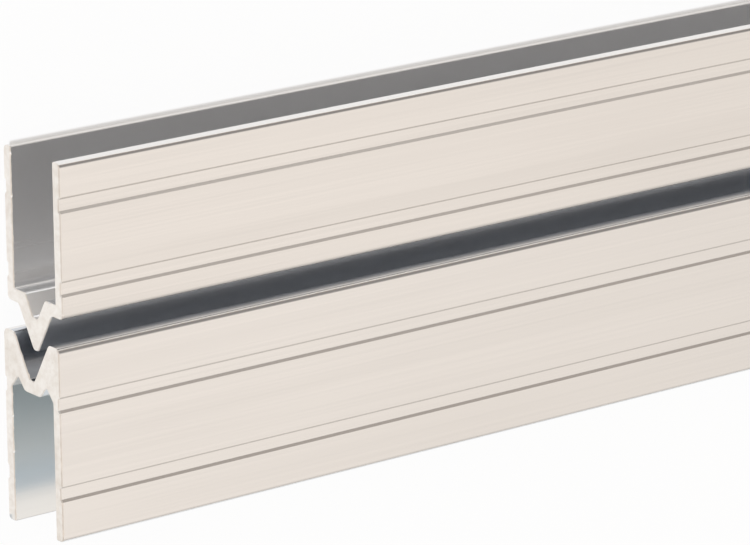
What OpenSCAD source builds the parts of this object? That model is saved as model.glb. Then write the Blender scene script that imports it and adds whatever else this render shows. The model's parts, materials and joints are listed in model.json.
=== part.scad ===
// Two-part closing profile of extruded aluminium, for the meeting edges of a case body and its lid.
// A V tongue along one half enters a V groove along the other, and each half takes a panel in its slot.
// X runs along the length, Y runs across both halves and Z points up from the broad faces they lie on.

/* [Stock] */
// Length that the stock is cut to
stock_length = 1000; // [100:10:4000]
// Gap between the shoulders of the tongue half and the lips of the groove half
parting_gap = 2.9; // [0:0.1:20]

/* [Panel slots] */
// Thickness of the panel that each slot takes
panel_thickness = 7; // [6:0.1:12]
// Room left for the panel in its slot
panel_clearance = 0.2; // [0.1:0.05:0.6]
// Thickness of the wall on either side of a slot
wall = 1.2; // [0.9:0.05:2.5]
// Depth of the slot in the tongue half
tongue_slot_depth = 15; // [10:0.1:40]
// Depth of the slot in the groove half
groove_slot_depth = 14.7; // [10:0.1:40]
// Rounding of the long outer edges at the slot's mouth
mouth_outer_round = 0.5; // [0.1:0.05:0.55]
// Rounding of the long outer edges at the shoulders and the lips
closing_outer_round = 0.6; // [0.1:0.05:0.8]
// Rounding of the slot's two inner edges at its mouth
mouth_round = 0.15; // [0.05:0.05:0.4]

/* [Tongue] */
// Reach of the tongue past the shoulders
tongue_reach = 4.4; // [2:0.1:6]
// Angle between a flank of the tongue and its middle plane
flank_angle = 30; // [22:1:38]
// Radius of the tongue's tip
tongue_tip_r = 0.65; // [0.2:0.05:1.2]
// Radius in the corner between a shoulder and the tongue
tongue_root_r = 0.6; // [0.2:0.05:0.8]
// Thickness from the shoulders to the floor of the slot
shoulder_thickness = 1.4; // [0.8:0.1:4]
// Depth of the hollow in the slot's floor, behind the tongue
hollow_depth = 2.35; // [1:0.05:2.8]
// Radius at the bottom of that hollow
hollow_r = 0.6; // [0.2:0.05:0.8]
// Rounding of the hollow's two edges in the slot's floor
hollow_edge_r = 0.4; // [0.1:0.05:0.6]
// Radius in the two corners of the slot's floor
floor_corner_r = 0.2; // [0.1:0.05:0.6]

/* [Groove] */
// Clearance between a flank of the tongue and a flank of the groove when the halves are closed
flank_clearance = 0.05; // [0.02:0.01:0.3]
// Radius at the bottom of the groove
groove_bottom_r = 0.55; // [0.2:0.05:0.65]
// Rounding of each lip where it turns into the groove
lip_round = 0.6; // [0.2:0.05:0.9]
// Thickness from the bottom of the groove to the floor of the slot
groove_floor = 1.4; // [0.8:0.1:4]
// Height of the relief beside each wall, above the floor of the slot
relief_height = 1.2; // [0.6:0.1:1.7]
// Angle between a side of the relief and its middle plane
relief_angle = 40; // [25:1:45]
// Radius at the top of the relief
relief_r = 0.25; // [0.1:0.05:0.5]
// Rounding of the relief's edge in the slot's floor
relief_edge_r = 0.8; // [0.1:0.05:1]

/* [Drill lines] */
// Width of the shallow bands that guide a drill along the broad faces
band_width = 1.7; // [0.8:0.1:2.4]
// Depth of those bands, whose sides slope at 45 degrees
band_depth = 0.25; // [0.1:0.05:0.35]
// Distance from the tongue half's mouth to the middle of its outer band
tongue_mouth_band = 4.35; // [3:0.05:4.5]
// Distance from the shoulders to the middle of the tongue half's inner band
shoulder_band = 3.3; // [2:0.05:3.5]
// Distance from the groove half's mouth to the middle of its outer band
groove_mouth_band = 5.2; // [3:0.05:6]
// Distance from the lips to the middle of the groove half's inner band
lip_band = 5.95; // [4:0.05:7]

/* [Hidden] */
$fn = 64;

// Distance that a cut runs on past the face it opens through
cut_past = 1;
// Distance that the area of a rounded corner runs on past the corner
corner_past = 0.2;
// Distance that a V runs on, straight, past the face it stands on
v_past = 0.5;

slot_width = panel_thickness + panel_clearance;
thickness = slot_width + 2 * wall;

// Depth that the sides of a V reach before its tip is rounded
function sharp_depth(depth, tip_r, half_angle) = depth + tip_r * (1 / sin(half_angle) - 1);

tongue_sharp_depth = sharp_depth(tongue_reach, tongue_tip_r, flank_angle);
tongue_half_width = tongue_sharp_depth * tan(flank_angle);

// The groove is the tongue's V set back by the clearance, with a bottom radius of its own
groove_sharp_depth = tongue_sharp_depth + flank_clearance / sin(flank_angle);
groove_half_width = groove_sharp_depth * tan(flank_angle);
groove_depth = groove_sharp_depth - sharp_depth(0, groove_bottom_r, flank_angle);
groove_web = groove_depth + groove_floor;

hollow_half_width = sharp_depth(hollow_depth, hollow_r, flank_angle) * tan(flank_angle);
relief_half_width = sharp_depth(relief_height, relief_r, relief_angle) * tan(relief_angle);
relief_edge_x = slot_width / 2 - 2 * relief_half_width;

tongue_half_height = shoulder_thickness + tongue_slot_depth;
groove_half_height = groove_web + groove_slot_depth;
both_halves = tongue_half_height + parting_gap + groove_half_height;
shoulder_y = both_halves / 2 - tongue_half_height;
lip_y = shoulder_y - parting_gap;

aluminium = [0.88, 0.86, 0.83];

// A unit vector at an angle from +x
function toward(angle) = [cos(angle), sin(angle)];

// The area between a corner and the arc that rounds it, where the corner's sides leave it at two angles
module corner_area(at, side_a, side_b, r) {
    half = (side_b - side_a) / 2;
    middle = toward((side_a + side_b) / 2);
    run = r / tan(half);
    centre = at + r / sin(half) * middle;
    difference() {
        polygon([at - corner_past * middle, at + run * toward(side_a), centre, at + run * toward(side_b)]);
        translate(centre)
            circle(r);
    }
}

// A V that hangs from y = 0 and ends in a round tip
module rounded_v(depth, tip_r, half_angle) {
    sharp = sharp_depth(depth, tip_r, half_angle);
    half_width = sharp * tan(half_angle);
    difference() {
        polygon([
            [-half_width, v_past],
            [-half_width, 0],
            [0, -sharp],
            [half_width, 0],
            [half_width, v_past],
        ]);
        corner_area([0, -sharp], 90 - half_angle, 90 + half_angle, tip_r);
    }
}

// Draws its shapes on both sides of the section's middle plane
module both_sides() {
    for (side = [0, 1])
        mirror([side, 0])
            children();
}

// A shallow band cut into a face at x = 0, with sloping sides
module band() {
    mouth = band_width / 2;
    bottom = mouth - band_depth;
    polygon([[0, mouth], [-band_depth, bottom], [-band_depth, -bottom], [0, -mouth]]);
}

// The section that the halves share: a channel whose closing face is at y = 0 and whose slot opens upwards
module channel(web, slot_depth, inner_band, mouth_band) {
    height = web + slot_depth;
    difference() {
        translate([-thickness / 2, 0])
            square([thickness, height]);
        translate([-slot_width / 2, web])
            square([slot_width, slot_depth + cut_past]);
        both_sides() {
            for (y = [inner_band, height - mouth_band])
                translate([thickness / 2, y])
                    band();
            corner_area([thickness / 2, 0], 90, 180, closing_outer_round);
            corner_area([thickness / 2, height], 180, 270, mouth_outer_round);
            corner_area([slot_width / 2, height], 270, 360, mouth_round);
        }
    }
}

// The tongue half's section: the tongue hangs from the shoulders, with a hollow behind it
module tongue_section() {
    difference() {
        union() {
            channel(shoulder_thickness, tongue_slot_depth, shoulder_band, tongue_mouth_band);
            rounded_v(tongue_reach, tongue_tip_r, flank_angle);
            both_sides() {
                corner_area([tongue_half_width, 0], -90 - flank_angle, 0, tongue_root_r);
                corner_area([slot_width / 2, shoulder_thickness], 90, 180, floor_corner_r);
            }
        }
        translate([0, shoulder_thickness])
            rounded_v(hollow_depth, hollow_r, flank_angle);
        both_sides()
            corner_area([hollow_half_width, shoulder_thickness], -90 - flank_angle, 0, hollow_edge_r);
    }
}

// The groove half's section: the groove enters between two lips, with a relief beside each wall
module groove_section() {
    difference() {
        channel(groove_web, groove_slot_depth, lip_band, groove_mouth_band);
        mirror([0, 1])
            rounded_v(groove_depth, groove_bottom_r, flank_angle);
        both_sides() {
            corner_area([groove_half_width, 0], 0, 90 + flank_angle, lip_round);
            translate([slot_width / 2 - relief_half_width, groove_web])
                rounded_v(relief_height, relief_r, relief_angle);
            corner_area([relief_edge_x, groove_web], 180, 270 + relief_angle, relief_edge_r);
        }
    }
}

// Runs a section along X, with its closing face at the given y and its broad face on the ground
module extruded(closing_y) {
    translate([0, closing_y, thickness / 2])
        rotate([0, 90, 0])
            linear_extrude(stock_length, center = true)
                children();
}

module tongue_profile() {
    color(aluminium)
        extruded(shoulder_y)
            tongue_section();
}

module groove_profile() {
    color(aluminium)
        extruded(lip_y)
            rotate(180)
                groove_section();
}

tongue_profile();
groove_profile();
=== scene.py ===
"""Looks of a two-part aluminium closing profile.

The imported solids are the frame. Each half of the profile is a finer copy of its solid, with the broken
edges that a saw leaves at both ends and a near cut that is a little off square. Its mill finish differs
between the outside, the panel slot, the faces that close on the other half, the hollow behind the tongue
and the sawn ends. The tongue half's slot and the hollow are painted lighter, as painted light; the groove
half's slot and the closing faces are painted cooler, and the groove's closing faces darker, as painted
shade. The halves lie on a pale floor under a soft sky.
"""

import json
import logging
import math
import random
from collections.abc import Callable, Iterable, Iterator
from contextlib import contextmanager
from dataclasses import dataclass, field
from enum import Enum

import bpy
from mathutils import Matrix, Vector


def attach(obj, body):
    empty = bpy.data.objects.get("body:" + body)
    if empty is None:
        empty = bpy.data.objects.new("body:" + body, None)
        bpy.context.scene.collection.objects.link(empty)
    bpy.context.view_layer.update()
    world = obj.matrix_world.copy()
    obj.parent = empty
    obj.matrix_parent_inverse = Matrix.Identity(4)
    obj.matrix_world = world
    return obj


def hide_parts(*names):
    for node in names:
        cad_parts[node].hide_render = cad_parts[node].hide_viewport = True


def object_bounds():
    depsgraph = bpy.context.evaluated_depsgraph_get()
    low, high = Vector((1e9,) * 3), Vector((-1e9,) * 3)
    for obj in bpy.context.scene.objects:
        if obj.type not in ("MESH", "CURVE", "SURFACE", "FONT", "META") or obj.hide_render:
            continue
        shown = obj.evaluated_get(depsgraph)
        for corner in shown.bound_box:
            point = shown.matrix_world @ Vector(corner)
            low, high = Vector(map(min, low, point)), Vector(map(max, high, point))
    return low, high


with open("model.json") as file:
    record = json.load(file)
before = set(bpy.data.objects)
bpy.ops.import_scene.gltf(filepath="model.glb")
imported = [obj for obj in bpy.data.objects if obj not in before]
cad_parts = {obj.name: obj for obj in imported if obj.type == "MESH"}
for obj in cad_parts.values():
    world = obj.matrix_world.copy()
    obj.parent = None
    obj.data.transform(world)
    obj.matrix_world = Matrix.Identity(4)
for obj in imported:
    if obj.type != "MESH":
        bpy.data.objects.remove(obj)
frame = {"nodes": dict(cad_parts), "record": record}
CAD_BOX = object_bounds()

LOG = logging.getLogger("closing_profile")
MM = 0.001

# A ray leaves a deep slot only after many reflections
LIGHT_BOUNCES = 32

# Most values of a noise lie in this span
NOISE_SPAN = (0.3, 0.7)
HALF_SPAN = (0.0, 0.5)
FULL_SPAN = (0.0, 1.0)

WHITE = (1.0, 1.0, 1.0)

Colour = tuple[float, float, float]
Point = tuple[float, float, float]
Socket = bpy.types.NodeSocket
Feed = Socket | float | tuple[float, ...]
Feeds = dict[str | int, Feed]


class Graph:
    """Adds nodes to one node tree and joins them."""

    def __init__(self, tree: bpy.types.NodeTree) -> None:
        """Takes over a tree and empties it."""
        self.tree = tree
        tree.nodes.clear()

    def feed(self, socket: Socket, value: Feed) -> None:
        """Links an output to an input, or sets the input's own value.

        Args:
            socket: the input.
            value: an output socket, a number, a vector or a colour of three parts.
        """
        if isinstance(value, Socket):
            self.tree.links.new(value, socket)
        elif socket.type == "RGBA":
            socket.default_value = (*value, 1.0)
        else:
            socket.default_value = value

    def add(self, kind: str, inputs: Feeds | None = None, **options: object) -> bpy.types.Node:
        """Adds a node.

        Args:
            kind: the node's type, without the words that all shader nodes share.
            inputs: values or output sockets, by the name or number of the input.
            options: the node's own settings.

        Returns:
            The new node.
        """
        name = kind if kind.startswith("NodeGroup") else "ShaderNode" + kind
        node = self.tree.nodes.new(name)
        for option, value in options.items():
            setattr(node, option, value)
        for key, value in (inputs or {}).items():
            self.feed(node.inputs[key], value)
        return node

    def math(self, operation: str, *values: Feed) -> Socket:
        """Adds a Math node and returns its output."""
        return self.add("Math", dict(enumerate(values)), operation=operation).outputs[0]

    def product(self, first: Feed, *others: Feed) -> Socket:
        """Multiplies numbers.

        Args:
            first: the first number.
            others: the numbers that it is multiplied by.

        Returns:
            The product.
        """
        for other in others:
            first = self.math("MULTIPLY", first, other)
        return first

    def vector(self, operation: str, first: Feed, second: Feed) -> bpy.types.Node:
        """Adds a Vector Math node and returns it."""
        return self.add("VectorMath", {0: first, 1: second}, operation=operation)

    def scaled(self, vector: Feed, scale: Feed) -> Socket:
        """Multiplies two vectors, part by part, and returns the result."""
        return self.vector("MULTIPLY", vector, scale).outputs[0]

    def combine(self, x: Feed, y: Feed, z: Feed) -> Socket:
        """Joins three numbers to a vector and returns it."""
        return self.add("CombineXYZ", {0: x, 1: y, 2: z}).outputs[0]

    def remap(self, value: Feed, span: tuple[Feed, Feed], to: tuple[Feed, Feed]) -> Socket:
        """Adds a smooth, clamped Map Range node.

        Args:
            value: the number to map.
            span: the numbers that give the two ends of the result.
            to: the ends of the result.

        Returns:
            The mapped number.
        """
        ends = {"From Min": span[0], "From Max": span[1], "To Min": to[0], "To Max": to[1]}
        node = self.add("MapRange", {"Value": value, **ends}, interpolation_type="SMOOTHSTEP")
        return node.outputs["Result"]

    def mix(self, factor: Feed, first: Feed, second: Feed) -> Socket:
        """Mixes two colours.

        Args:
            factor: the share of the second colour.
            first: the first colour.
            second: the second colour.

        Returns:
            The mixed colour.
        """
        # The Mix node's sockets for colours come after those for numbers and vectors, under the same names
        return self.add("Mix", {0: factor, 6: first, 7: second}, data_type="RGBA").outputs[2]

    def noise(self, vector: Feed, detail: float, roughness: float = 0.5) -> Socket:
        """Adds a Noise Texture of scale 1 and returns its value."""
        values = {"Vector": vector, "Scale": 1.0, "Detail": detail, "Roughness": roughness}
        return self.add("TexNoise", values).outputs["Fac"]


class Effect(Enum):
    """Shared effects of the finishes, each a node group that is built once."""

    DRAWN_LINES = "drawn_lines"
    OXIDE_BLOOM = "oxide_bloom"
    SAW_ARCS = "saw_arcs"

    def group(self) -> bpy.types.NodeTree:
        """Returns the effect's node group, and builds it first where there is none."""
        found = bpy.data.node_groups.get(self.value)
        return found or EFFECT_BUILDERS[self](self.value)


def new_group(
    name: str, inputs: dict[str, str], outputs: Iterable[str]
) -> tuple[Graph, bpy.types.NodeOutputs, bpy.types.NodeInputs]:
    """Makes an empty node group.

    Args:
        name: the group's name.
        inputs: the type of each input socket by its name.
        outputs: the names of the output sockets, which are all numbers.

    Returns:
        The group's graph, the sockets that give its inputs, and the sockets that take its outputs.
    """
    tree = bpy.data.node_groups.new(name, "ShaderNodeTree")
    for socket, kind in inputs.items():
        tree.interface.new_socket(socket, in_out="INPUT", socket_type=kind)
    for socket in outputs:
        tree.interface.new_socket(socket, in_out="OUTPUT", socket_type="NodeSocketFloat")
    graph = Graph(tree)
    return graph, graph.add("NodeGroupInput").outputs, graph.add("NodeGroupOutput").inputs


def drawn_lines(name: str) -> bpy.types.NodeTree:
    """Builds the fine lines that the die draws along the length.

    Args:
        name: the group's name.

    Returns:
        A group whose Height has fine lines and whose Tone has them with broad streaks, both from 0 to 1.
    """
    inputs = {"Coordinates": "NodeSocketVector", "Pitch": "NodeSocketFloat", "Run": "NodeSocketFloat"}
    graph, given, result = new_group(name, inputs, ("Height", "Tone"))
    streak_scale = (0.5, 0.11, 0.11)
    across = graph.math("DIVIDE", 1.0, given["Pitch"])
    along = graph.math("DIVIDE", 1.0, given["Run"])
    fine = graph.scaled(given["Coordinates"], graph.combine(along, across, across))
    lines = graph.noise(fine, detail=4.0, roughness=0.65)
    streaks = graph.noise(graph.scaled(fine, streak_scale), detail=2.0)
    halves = [graph.remap(noise, NOISE_SPAN, HALF_SPAN) for noise in (streaks, lines)]
    graph.feed(result["Height"], lines)
    graph.feed(result["Tone"], graph.math("ADD", *halves))
    return graph.tree


def oxide_bloom(name: str) -> bpy.types.NodeTree:
    """Builds the cloudy change of tone that bare aluminium gets in the air.

    Args:
        name: the group's name.

    Returns:
        A group whose Tone goes from 0 to 1 over patches of the given size, drawn out along the length.
    """
    inputs = {"Coordinates": "NodeSocketVector", "Patch": "NodeSocketFloat"}
    graph, given, result = new_group(name, inputs, ("Tone",))
    drawn_out = 0.35
    cloud_span = (0.32, 0.68)
    across = graph.math("DIVIDE", 1.0, given["Patch"])
    along = graph.math("MULTIPLY", across, drawn_out)
    spread = graph.scaled(given["Coordinates"], graph.combine(along, across, across))
    clouds = graph.noise(spread, detail=3.0, roughness=0.55)
    graph.feed(result["Tone"], graph.remap(clouds, cloud_span, FULL_SPAN))
    return graph.tree


def saw_arcs(name: str) -> bpy.types.NodeTree:
    """Builds the arcs that the teeth of a circular saw leave on a cut end.

    Args:
        name: the group's name.

    Returns:
        A group whose Height has the arcs and whose Grain has the torn grain between them, both from 0 to 1.
    """
    inputs = {"Coordinates": "NodeSocketVector", "Blade": "NodeSocketFloat", "Pitch": "NodeSocketFloat"}
    graph, given, result = new_group(name, inputs, ("Height", "Grain"))
    axle_aside = -0.35
    grains_per_arc = 0.4
    arc_share, grain_share = 0.7, 0.3
    flat = graph.scaled(given["Coordinates"], (0.0, 1.0, 1.0))
    aside = graph.math("MULTIPLY", given["Blade"], axle_aside)
    reach = graph.vector("DISTANCE", flat, graph.combine(0.0, aside, given["Blade"])).outputs["Value"]
    turns = graph.math("DIVIDE", reach, given["Pitch"])
    teeth = {"W": turns, "Scale": 1.0, "Detail": 2.0}
    arcs = graph.add("TexNoise", teeth, noise_dimensions="1D").outputs["Fac"]
    density = graph.math("DIVIDE", grains_per_arc, given["Pitch"])
    even = graph.scaled(given["Coordinates"], graph.combine(density, density, density))
    grain = graph.noise(even, detail=5.0, roughness=0.7)
    torn = graph.math("MULTIPLY", grain, grain_share)
    graph.feed(result["Height"], graph.math("MULTIPLY_ADD", arcs, arc_share, torn))
    graph.feed(result["Grain"], graph.remap(grain, NOISE_SPAN, FULL_SPAN))
    return graph.tree


EFFECT_BUILDERS: dict[Effect, Callable[[str], bpy.types.NodeTree]] = {
    Effect.DRAWN_LINES: drawn_lines,
    Effect.OXIDE_BLOOM: oxide_bloom,
    Effect.SAW_ARCS: saw_arcs,
}


def metal_graph(name: str) -> tuple[Graph, bpy.types.Node]:
    """Makes a material of bare metal.

    Args:
        name: the material's name.

    Returns:
        The material's graph and its shader node.
    """
    material = bpy.data.materials.new(name)
    material.use_nodes = True
    graph = Graph(material.node_tree)
    shader = graph.add("BsdfPrincipled", {"Metallic": 1.0})
    graph.add("OutputMaterial", {"Surface": shader.outputs["BSDF"]})
    return graph, shader


def placed(graph: Graph, effect: Effect, **values: Feed) -> bpy.types.NodeOutputs:
    """Puts a shared effect into a material.

    Args:
        graph: the material's graph.
        effect: the effect.
        values: the effect's inputs by name.

    Returns:
        The effect's outputs.
    """
    node = graph.tree.nodes.new("ShaderNodeGroup")
    node.node_tree = effect.group()
    for name, value in values.items():
        graph.feed(node.inputs[name], value)
    return node.outputs


def roughen(graph: Graph, shader: bpy.types.Node, depth: float, height: Socket) -> None:
    """Gives a metal's surface a fine relief.

    Args:
        graph: the material's graph.
        shader: the material's shader node.
        depth: depth of the relief.
        height: the relief, from 0 to 1.
    """
    bump = graph.add("Bump", {"Strength": 1.0, "Distance": depth, "Height": height})
    graph.feed(shader.inputs["Normal"], bump.outputs["Normal"])


@dataclass(frozen=True)
class MillFinish:
    """Bare aluminium as it leaves the die.

    Attributes:
        name: the material's name.
        bright: colour where the metal is cleanest.
        dull: colour where the oxide is thickest.
        roughness: roughness of the clean metal.
        dulling: how much rougher the dull metal is.
        line_pitch: distance between fine lines.
        line_run: length over which a fine line stays the same.
        line_depth: depth of the fine lines as bump.
        line_share: share of the lines in the change of tone.
        patch: size of the oxide's clouds.
        cloud_share: share of the clouds in the change of tone.
    """

    name: str
    bright: Colour
    dull: Colour
    roughness: float = 0.20
    dulling: float = 0.06
    line_pitch: float = 0.3 * MM
    line_run: float = 60 * MM
    line_depth: float = 0.0008 * MM
    line_share: float = 0.7
    patch: float = 24 * MM
    cloud_share: float = 0.3

    def material(self) -> bpy.types.Material:
        """Builds the finish's material.

        Returns:
            The material.
        """
        graph, shader = metal_graph(self.name)
        place = graph.add("TexCoord").outputs["Object"]
        lines = placed(graph, Effect.DRAWN_LINES, Coordinates=place, Pitch=self.line_pitch, Run=self.line_run)
        bloom = placed(graph, Effect.OXIDE_BLOOM, Coordinates=place, Patch=self.patch)
        clouds = graph.math("MULTIPLY", bloom["Tone"], self.cloud_share)
        tone = graph.math("MULTIPLY_ADD", lines["Tone"], self.line_share, clouds)
        graph.feed(shader.inputs["Base Color"], graph.mix(tone, self.bright, self.dull))
        graph.feed(shader.inputs["Roughness"], graph.math("MULTIPLY_ADD", tone, self.dulling, self.roughness))
        roughen(graph, shader, self.line_depth, lines["Height"])
        return bpy.data.materials[self.name]


@dataclass(frozen=True)
class SawnFinish:
    """Aluminium as a saw leaves it.

    Attributes:
        name: the material's name.
        bright: colour of the freshly cut metal.
        torn: colour of the grain that the teeth tore.
        roughness: roughness of the cut.
        tearing: how much rougher the torn grain is.
        arc_pitch: distance between the marks of the teeth.
        arc_depth: depth of those marks as bump.
        blade: distance from the part to the axle of the blade.
        grain_share: share of the torn grain in the change of tone.
        patch: size of the oxide's clouds.
        cloud_share: share of the clouds in the change of tone.
    """

    name: str
    bright: Colour
    torn: Colour
    roughness: float = 0.28
    tearing: float = 0.15
    arc_pitch: float = 0.35 * MM
    arc_depth: float = 0.008 * MM
    blade: float = 125 * MM
    grain_share: float = 0.5
    patch: float = 9 * MM
    cloud_share: float = 0.5

    def material(self) -> bpy.types.Material:
        """Builds the finish's material.

        Returns:
            The material.
        """
        graph, shader = metal_graph(self.name)
        place = graph.add("TexCoord").outputs["Object"]
        arcs = placed(graph, Effect.SAW_ARCS, Coordinates=place, Blade=self.blade, Pitch=self.arc_pitch)
        bloom = placed(graph, Effect.OXIDE_BLOOM, Coordinates=place, Patch=self.patch)
        clouds = graph.math("MULTIPLY", bloom["Tone"], self.cloud_share)
        tone = graph.math("MULTIPLY_ADD", arcs["Grain"], self.grain_share, clouds)
        rough = graph.math("MULTIPLY_ADD", arcs["Grain"], self.tearing, self.roughness)
        graph.feed(shader.inputs["Base Color"], graph.mix(tone, self.bright, self.torn))
        graph.feed(shader.inputs["Roughness"], rough)
        roughen(graph, shader, self.arc_depth, arcs["Height"])
        return bpy.data.materials[self.name]


class Surface(Enum):
    """The surfaces of a half that differ in finish and in painted light and shade, in material slot order."""

    OUTSIDE = 0
    SLOT = 1
    CLOSING = 2
    SAWN_END = 3
    HOLLOW = 4


Finishes = dict[Surface, MillFinish | SawnFinish]

TONGUE_FINISHES: Finishes = {
    Surface.OUTSIDE: MillFinish("mill_outside", (0.91, 0.89, 0.865), (0.84, 0.82, 0.795)),
    # The tongue half's slot is painted lighter than its outside: painted light in the slot
    Surface.SLOT: MillFinish("mill_slot", (0.957, 0.957, 0.96), (0.927, 0.927, 0.93), roughness=0.22),
    # The tongue's closing faces are tinted blue: a painted cool shade in the gap between the halves
    Surface.CLOSING: MillFinish("mill_tongue", (0.93, 0.955, 0.985), (0.90, 0.925, 0.955), roughness=0.30),
    Surface.SAWN_END: SawnFinish("sawn_end", (0.97, 0.93, 0.88), (0.795, 0.73, 0.66)),
    # The hollow is painted lighter than the outside, a painted light, and it has a rougher finish
    Surface.HOLLOW: MillFinish("mill_hollow", (0.97, 0.96, 0.95), (0.95, 0.94, 0.93), roughness=0.62),
}
GROOVE_FINISHES: Finishes = {
    **TONGUE_FINISHES,
    Surface.OUTSIDE: MillFinish("mill_outside_grey", (0.91, 0.895, 0.875), (0.85, 0.835, 0.815)),
    # The groove half's slot is painted cooler than its outside: a painted cool shade in the slot
    Surface.SLOT: MillFinish("mill_slot_cool", (0.89, 0.915, 0.92), (0.855, 0.88, 0.885), roughness=0.22),
    # The groove's closing faces are painted dark and cool: painted shade in the gap between the halves
    Surface.CLOSING: MillFinish("mill_groove", (0.665, 0.685, 0.715), (0.635, 0.655, 0.685)),
}


class Element(Enum):
    """What a selection is made of, with the name of the mesh's list of it."""

    VERT = "vertices"
    EDGE = "edges"
    FACE = "polygons"


@contextmanager
def edit_mode() -> Iterator[None]:
    """Holds the active object in edit mode."""
    bpy.ops.object.mode_set(mode="EDIT")
    yield
    bpy.ops.object.mode_set(mode="OBJECT")


@dataclass
class ExtrudedHalf:
    """One half of the profile, sawn from a long extrusion.

    Attributes:
        name: the piece's name.
        node: the solid that it stands for.
        opening: name of the panel slot in the record.
        finishes: the finish of each kind of surface.
        seed: seed of the uneven edges.
        cut_inset: distance that the near cut is set in.
        cut_skew: angle that the near cut is off square.
        edge_step: longest step between two points on the outline of a cut.
        edge_break: width and depth of the broken edges round a cut.
        nicks: share of the outline's points that are set in further, and how far, for each size of nick.
        merge_within: distance at which two points count as one.
        flat_within: angle between two faces that count as one flat face.
        smooth_within: angle up to which an edge between two faces shades smoothly.
        normal_weight: weight of the larger faces in the normals.
        end_facing: share of X in a normal beyond which a face belongs to a cut.
        wall_reach: distance that the slot's finish goes on into the walls.
        closing_facing: share of the slot's direction in a normal below which a face closes on the other half.
        hollow_facing: shares of the slot's direction in the normals of the hollow's flanks.
        piece: the finished object.
    """

    name: str
    node: str
    opening: str
    finishes: Finishes
    seed: int
    cut_inset: float = 0.0
    cut_skew: float = math.radians(1.2)
    edge_step: float = 0.45 * MM
    edge_break: float = 0.09 * MM
    nicks: tuple[tuple[float, float], ...] = ((0.3, 0.02 * MM), (0.2, 0.035 * MM), (0.06, 0.08 * MM))
    merge_within: float = 0.001 * MM
    flat_within: float = math.radians(0.3)
    smooth_within: float = math.radians(20)
    normal_weight: int = 100
    end_facing: float = 0.5
    wall_reach: float = 0.15 * MM
    closing_facing: float = -0.1
    hollow_facing: tuple[float, float] = (0.3, 0.6)
    piece: bpy.types.Object = field(init=False)

    def build(self) -> None:
        """Models the half from a copy of its solid."""
        self.copy_solid()
        self.divide_cut_edges()
        self.break_cut_edges()
        self.skew_near_cut()
        self.shade_smoothly()
        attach(self.piece, "root")
        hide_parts(self.node)

    def copy_solid(self) -> None:
        """Makes the piece from a copy of the solid's mesh, with its triangles joined to flat faces."""
        mesh = frame["nodes"][self.node].data.copy()
        mesh.materials.clear()
        self.piece = bpy.data.objects.new(self.name, mesh)
        bpy.context.scene.collection.objects.link(self.piece)
        bpy.ops.object.select_all(action="DESELECT")
        bpy.context.view_layer.objects.active = self.piece
        self.piece.select_set(True)
        bpy.ops.mesh.customdata_custom_splitnormals_clear()
        with edit_mode():
            bpy.ops.mesh.select_all(action="SELECT")
            bpy.ops.mesh.remove_doubles(threshold=self.merge_within)
            bpy.ops.mesh.dissolve_limited(angle_limit=self.flat_within)

    def divide_cut_edges(self) -> None:
        """Divides the outlines of both cuts into short steps, and the long faces into strips to match."""
        mesh = self.piece.data
        while True:
            long_edges = [edge.index for edge in mesh.edges if self.is_long_cut_edge(edge)]
            if not long_edges:
                return
            self.pick(Element.EDGE, long_edges)
            with edit_mode():
                bpy.ops.mesh.subdivide(number_cuts=1)

    def is_long_cut_edge(self, edge: bpy.types.MeshEdge) -> bool:
        """Tells whether an edge lies on a cut and is longer than a step.

        Args:
            edge: an edge of the half.

        Returns:
            Whether it has to be divided.
        """
        start, end = (self.piece.data.vertices[i].co for i in edge.vertices)
        off_cut = max(abs(abs(point.x) - CAD_BOX[1].x) for point in (start, end))
        return off_cut < self.merge_within and (start - end).length > self.edge_step

    def break_cut_edges(self) -> None:
        """Breaks the edges of both cuts, and nicks them here and there."""
        mesh = self.piece.data
        self.pick(Element.FACE, [face.index for face in mesh.polygons if self.is_cut(face)])
        with edit_mode():
            bpy.ops.mesh.inset(thickness=self.edge_break, depth=0.0)
        outline = sorted({i for face in mesh.polygons if not self.is_cut(face) for i in face.vertices})
        draw = random.Random(self.seed)
        for share, depth in ((1.0, self.edge_break), *self.nicks):
            chosen = [i for i in outline if draw.random() < share]
            for side in (-1, 1):
                self.pick(Element.VERT, [i for i in chosen if mesh.vertices[i].co.x * side > 0])
                with edit_mode():
                    bpy.ops.transform.translate(value=(-side * depth, 0, 0))

    def skew_near_cut(self) -> None:
        """Turns the near cut a little off square, about its edge furthest along +Y, and sets it in."""
        near = [point for point in self.piece.data.vertices if point.co.x < 0]
        pivot = (max(point.co.x for point in near), max(point.co.y for point in near), 0.0)
        self.pick(Element.VERT, [point.index for point in near])
        with edit_mode():
            bpy.ops.transform.rotate(value=-self.cut_skew, orient_axis="Z", center_override=pivot)
            bpy.ops.transform.translate(value=(self.cut_inset, 0, 0))

    def shade_smoothly(self) -> None:
        """Shades the round edges smoothly, and lets the broad flat faces set the normals beside them."""
        bpy.ops.object.shade_smooth_by_angle(angle=self.smooth_within)
        bpy.ops.object.modifier_add(type="WEIGHTED_NORMAL")
        modifier = self.piece.modifiers[-1]
        modifier.weight = self.normal_weight
        modifier.keep_sharp = True
        bpy.ops.object.modifier_apply(modifier=modifier.name)

    def pick(self, element: Element, numbers: Iterable[int]) -> None:
        """Selects parts of the mesh, and nothing else.

        Args:
            element: what is selected.
            numbers: numbers of the parts to select.
        """
        with edit_mode():
            bpy.ops.mesh.select_mode(type=element.name)
            bpy.ops.mesh.select_all(action="DESELECT")
        items = getattr(self.piece.data, element.value)
        for number in numbers:
            items[number].select = True

    def dress(self) -> None:
        """Gives each surface of the half its finish."""
        mesh = self.piece.data
        for surface in Surface:
            finish = self.finishes[surface]
            mesh.materials.append(bpy.data.materials.get(finish.name) or finish.material())
        for face in mesh.polygons:
            face.material_index = self.surface_of(face).value

    def is_cut(self, face: bpy.types.MeshPolygon) -> bool:
        """Tells whether a face belongs to one of the cuts."""
        return abs(face.normal.x) > self.end_facing

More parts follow.
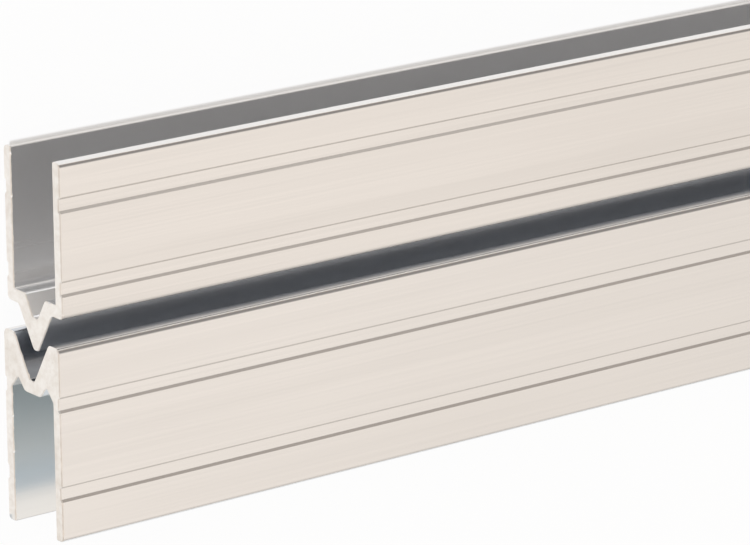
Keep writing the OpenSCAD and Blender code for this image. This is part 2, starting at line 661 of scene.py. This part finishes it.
    def surface_of(self, face: bpy.types.MeshPolygon) -> Surface:
        """Tells which kind of surface a face belongs to.

        Args:
            face: a face of the half.

        Returns:
            The kind of surface.
        """
        if self.is_cut(face):
            return Surface.SAWN_END
        low, high = self.panel_room
        if not low.z - self.wall_reach < face.center.z < high.z + self.wall_reach:
            return Surface.OUTSIDE
        facing = face.normal.y * math.copysign(1.0, low.y + high.y)
        if facing < self.closing_facing:
            return Surface.CLOSING
        least, most = self.hollow_facing
        return Surface.HOLLOW if least < facing < most else Surface.SLOT

    @property
    def panel_room(self) -> tuple[Vector, Vector]:
        """Finds the room that the slot keeps for a panel.

        Returns:
            The room's low and high corner.
        """
        boxes = {opening["name"]: opening["box_m"] for opening in frame["record"]["physics"]["openings"]}
        low, high = boxes[self.opening]
        return Vector(low), Vector(high)

    def report(self) -> None:
        """Logs the piece."""
        LOG.info("%s: %d faces, stands for %s", self.name, len(self.piece.data.polygons), self.node)


@dataclass
class PaleFloor:
    """The pale floor that the halves lie on, and the low wall round it.

    Most of its white doesn't depend on the light, so the halves' shadow on it is faint. It is dark under the
    halves, except near their ends, where its glow is painted light. A painted shade lies in a narrow strip
    along their long sides, and a cooler painted shade in the lee of the groove half.

    Attributes:
        size: length of a side of the floor.
        wall_height: height of the wall.
        wall_sides: number of flat sides of the wall.
        colour: colour of the floor in plain light.
        glow: share of white that doesn't depend on the light.
        dark_inset_x: distance from the ends at which the dark under the halves starts, in reflections. Nearer
            the ends the floor under them glows, a painted light.
        seen_painted_light_x: further distance at which it starts as it is seen directly, which widens that
            painted light.
        dark_inset_y: distance from the long sides at which that dark starts.
        contact_reach: width of the painted shade along the long sides, in reflections.
        contact_seen: width of that shade as it is seen directly.
        contact_shade: share of the glow that the shade takes away.
        contact_inset: distance from the ends at which the shade stops.
        painted_lee_shade_reach: width of the painted shade in the lee, which shows only in reflections.
        painted_lee_shade_colour: colour of the floor where that painted shade is deepest.
    """

    size: float = 80.0
    wall_height: float = 3.0
    wall_sides: int = 96
    colour: Colour = (0.97, 0.97, 0.97)
    glow: float = 0.95
    dark_inset_x: float = 3 * MM
    seen_painted_light_x: float = 3 * MM
    dark_inset_y: float = 0.4 * MM
    contact_reach: float = 0.9 * MM
    contact_seen: float = 0.3 * MM
    contact_shade: float = 0.7
    contact_inset: float = 1 * MM
    painted_lee_shade_reach: float = 40 * MM
    painted_lee_shade_colour: Colour = (0.55, 0.61, 0.67)

    def build(self) -> None:
        """Lays the floor and stands the wall round it."""
        material = self.material()
        bpy.ops.object.select_all(action="DESELECT")
        bpy.ops.mesh.primitive_plane_add(size=self.size)
        self.stage("floor", material)
        bpy.ops.object.select_all(action="DESELECT")
        bpy.ops.mesh.primitive_cylinder_add(
            vertices=self.wall_sides,
            radius=self.size / 2,
            depth=self.wall_height,
            end_fill_type="NOTHING",
            location=(0, 0, self.wall_height / 2),
        )
        self.stage("backdrop", material)

    def stage(self, name: str, material: bpy.types.Material) -> None:
        """Names and dresses the active object.

        Args:
            name: the object's name.
            material: the object's material.
        """
        thing = bpy.context.object
        thing.name = name
        thing.data.materials.append(material)

    def material(self) -> bpy.types.Material:
        """Builds the material of the floor and the wall.

        Returns:
            The material.
        """
        material = bpy.data.materials.new("pale_floor")
        material.use_nodes = True
        graph = Graph(material.node_tree)
        path = graph.add("LightPath").outputs
        place = graph.add("SeparateXYZ", {0: graph.add("TexCoord").outputs["Object"]}).outputs
        glow = self.glow_share(graph, path, place)
        # The painted shade in the lee tints the floor's white as reflections see it
        tone = graph.mix(self.painted_lee_shade_share(graph, path, place), WHITE, self.painted_lee_shade_colour)
        diffuse = graph.add("BsdfDiffuse", {"Color": self.colour}).outputs[0]
        white = graph.add("Emission", {"Color": tone, "Strength": 1.0}).outputs[0]
        mixed = graph.add("MixShader", {0: glow, 1: diffuse, 2: white}).outputs[0]
        graph.add("OutputMaterial", {"Surface": mixed})
        return material

    def glow_share(self, graph: Graph, path: bpy.types.NodeOutputs, place: bpy.types.NodeOutputs) -> Socket:
        """Works out how much of the floor's white shows at a place.

        Args:
            graph: the material's graph.
            path: the outputs of the Light Path node.
            place: the place's coordinates.

        Returns:
            The share of white, which is none under the halves except near their ends, where it is painted
            light, and less beside their long sides, where a painted shade takes it away.
        """
        direct = path["Is Camera Ray"]
        seen = graph.math("MAXIMUM", direct, path["Is Glossy Ray"])
        seen = graph.math("MAXIMUM", seen, path["Is Transmission Ray"])
        past_x = graph.math("SUBTRACT", graph.math("ABSOLUTE", place["X"]), CAD_BOX[1].x)
        past_y = graph.math("SUBTRACT", graph.math("ABSOLUTE", place["Y"]), CAD_BOX[1].y)
        # Near the ends the floor under the halves still glows, a painted light, further for the camera than
        # in reflections
        inset_x = graph.math("MULTIPLY_ADD", direct, -self.seen_painted_light_x, -self.dark_inset_x)
        beyond_x = graph.math("GREATER_THAN", past_x, inset_x)
        beyond_y = graph.math("GREATER_THAN", past_y, -self.dark_inset_y)
        open_floor = graph.math("MAXIMUM", beyond_x, beyond_y)
        narrower = self.contact_seen - self.contact_reach
        reach = graph.math("MULTIPLY_ADD", direct, narrower, self.contact_reach)
        # A painted shade along the long sides takes away part of the glow
        shade = graph.remap(past_y, (0.0, reach), (self.contact_shade, 0.0))
        beside = graph.math("LESS_THAN", past_x, -self.contact_inset)
        shade = graph.product(shade, beyond_y, beside)
        full = graph.math("MULTIPLY_ADD", shade, -self.glow, self.glow)
        return graph.product(seen, open_floor, full)

    def painted_lee_shade_share(self, graph: Graph, path: bpy.types.NodeOutputs, place: bpy.types.NodeOutputs) -> Socket:
        """Works out how deep a place lies in the painted shade in the lee of the groove half.

        Args:
            graph: the material's graph.
            path: the outputs of the Light Path node.
            place: the place's coordinates.

        Returns:
            The depth, from 0 in the open to 1 at the groove half.
        """
        side = self.dark_inset_y - CAD_BOX[1].y
        depth = graph.remap(place["Y"], (side - self.painted_lee_shade_reach, side), FULL_SPAN)
        outside = graph.math("LESS_THAN", place["Y"], side)
        beside = graph.math("LESS_THAN", graph.math("ABSOLUTE", place["X"]), CAD_BOX[1].x)
        reflected = graph.math("SUBTRACT", 1.0, path["Is Camera Ray"])
        return graph.product(depth, outside, beside, reflected)


@dataclass(frozen=True)
class SkyPatch:
    """A round patch of the sky with a colour of its own.

    Attributes:
        axis: direction of the patch's middle.
        inner: angle in degrees from the middle up to which the patch has its full colour.
        outer: angle in degrees from the middle at which the patch ends.
        colour: colour of the patch.
    """

    axis: Point
    inner: float
    outer: float
    colour: Colour

    def over(self, graph: Graph, direction: Socket, sky: Socket) -> Socket:
        """Lays the patch over a sky.

        Args:
            graph: the world's graph.
            direction: the direction that is looked in.
            sky: the colour of the sky without the patch.

        Returns:
            The colour of the sky with the patch.
        """
        middle = tuple(Vector(self.axis).normalized())
        nearness = graph.vector("DOT_PRODUCT", direction, middle).outputs["Value"]
        rim = (math.cos(math.radians(self.outer)), math.cos(math.radians(self.inner)))
        return graph.mix(graph.remap(nearness, rim, FULL_SPAN), sky, self.colour)


@dataclass
class SoftSky:
    """The soft light of the studio, which is brightest overhead.

    Attributes:
        stops: colours of the sky, each with the height at which it stands, from -1 below to 1 overhead.
        patches: what the V's flanks, the sides of the bands and the rounded edges mirror, in that order.
    """

    stops: tuple[tuple[float, Colour], ...] = (
        (-0.10, (0.40, 0.40, 0.41)),
        (0.10, (0.30, 0.30, 0.30)),
        (0.29, (0.65, 0.61, 0.575)),
        (0.55, (0.78, 0.735, 0.69)),
        (0.70, (0.84, 0.783, 0.733)),
        (0.80, (1.00, 0.935, 0.88)),
        (1.00, (1.00, 0.94, 0.89)),
    )
    patches: tuple[SkyPatch, ...] = (
        SkyPatch((0.60, 0.50, 0.62), 12, 38, (0.26, 0.247, 0.24)),
        SkyPatch((0.60, 0.74, 0.29), 8, 17, (0.365, 0.32, 0.285)),
        SkyPatch((0.60, 0.80, 0.02), 8, 15, (1.30, 1.28, 1.25)),
    )

    def build(self) -> None:
        """Lights the scene by the sky."""
        world = bpy.data.worlds.new("studio")
        bpy.context.scene.world = world
        world.use_nodes = True
        graph = Graph(world.node_tree)
        direction = graph.add("TexCoord").outputs["Generated"]
        height = graph.add("SeparateXYZ", {0: direction}).outputs["Z"]
        # The ramp runs from 0 straight below to 1 overhead
        ramp = graph.add("ValToRGB", {"Fac": graph.math("MULTIPLY_ADD", height, 0.5, 0.5)})
        elements = ramp.color_ramp.elements
        while len(elements) < len(self.stops):
            elements.new(0.5)
        for element, (at, colour) in zip(elements, self.stops):
            element.position = (at + 1) / 2
            element.color = (*colour, 1.0)
        sky = ramp.outputs["Color"]
        for patch in self.patches:
            sky = patch.over(graph, direction, sky)
        back = graph.add("Background", {"Color": sky, "Strength": 1.0})
        graph.add("OutputWorld", {"Surface": back.outputs[0]})


@dataclass
class PhotoCamera:
    """The camera at the photograph's viewing angle.

    Attributes:
        place: where the camera stands.
        target: what it looks at.
        roll: angle that it is turned about its line of sight.
        lens: focal length in millimetres.
        sensor: width of the sensor in millimetres.
        clip: nearest and furthest distance that it sees.
    """

    place: Point = (-0.79242, 0.16197, 0.42197)
    target: Point = (-0.45927, 0.00142, 0.00960)
    roll: float = math.radians(-0.607)
    lens: float = 253.37
    sensor: float = 36.0
    clip: tuple[float, float] = (0.02, 200.0)

    def build(self) -> None:
        """Sets the camera up with +Y upwards in the picture."""
        data = bpy.data.cameras.new("photo_camera")
        data.lens = self.lens
        data.sensor_width = self.sensor
        data.clip_start, data.clip_end = self.clip
        camera = bpy.data.objects.new("photo_camera", data)
        bpy.context.scene.collection.objects.link(camera)
        back = (Vector(self.place) - Vector(self.target)).normalized()
        right = Vector((0, 1, 0)).cross(back).normalized()
        up = back.cross(right)
        turn = Matrix((right, up, back)).transposed() @ Matrix.Rotation(-self.roll, 3, "Z")
        camera.matrix_world = Matrix.LocRotScale(Vector(self.place), turn, None)
        bpy.context.scene.camera = camera


def main() -> None:
    """Builds the studio and both halves, and reports each piece."""
    logging.basicConfig(level=logging.INFO, format="%(name)s: %(message)s")
    scene = bpy.context.scene
    scene.view_settings.view_transform = "Standard"
    scene.cycles.max_bounces = LIGHT_BOUNCES
    scene.cycles.glossy_bounces = LIGHT_BOUNCES
    for surroundings in (PaleFloor(), SoftSky(), PhotoCamera()):
        surroundings.build()
    halves = (
        ExtrudedHalf(
            "tongue_half", "tongue_profile", "tongue_panel_slot", TONGUE_FINISHES, seed=3, cut_inset=0.18 * MM
        ),
        ExtrudedHalf("groove_half", "groove_profile", "groove_panel_slot", GROOVE_FINISHES, seed=8),
    )
    for half in halves:
        half.build()
        half.dress()
        half.report()


if __name__ == "__main__":
    main()
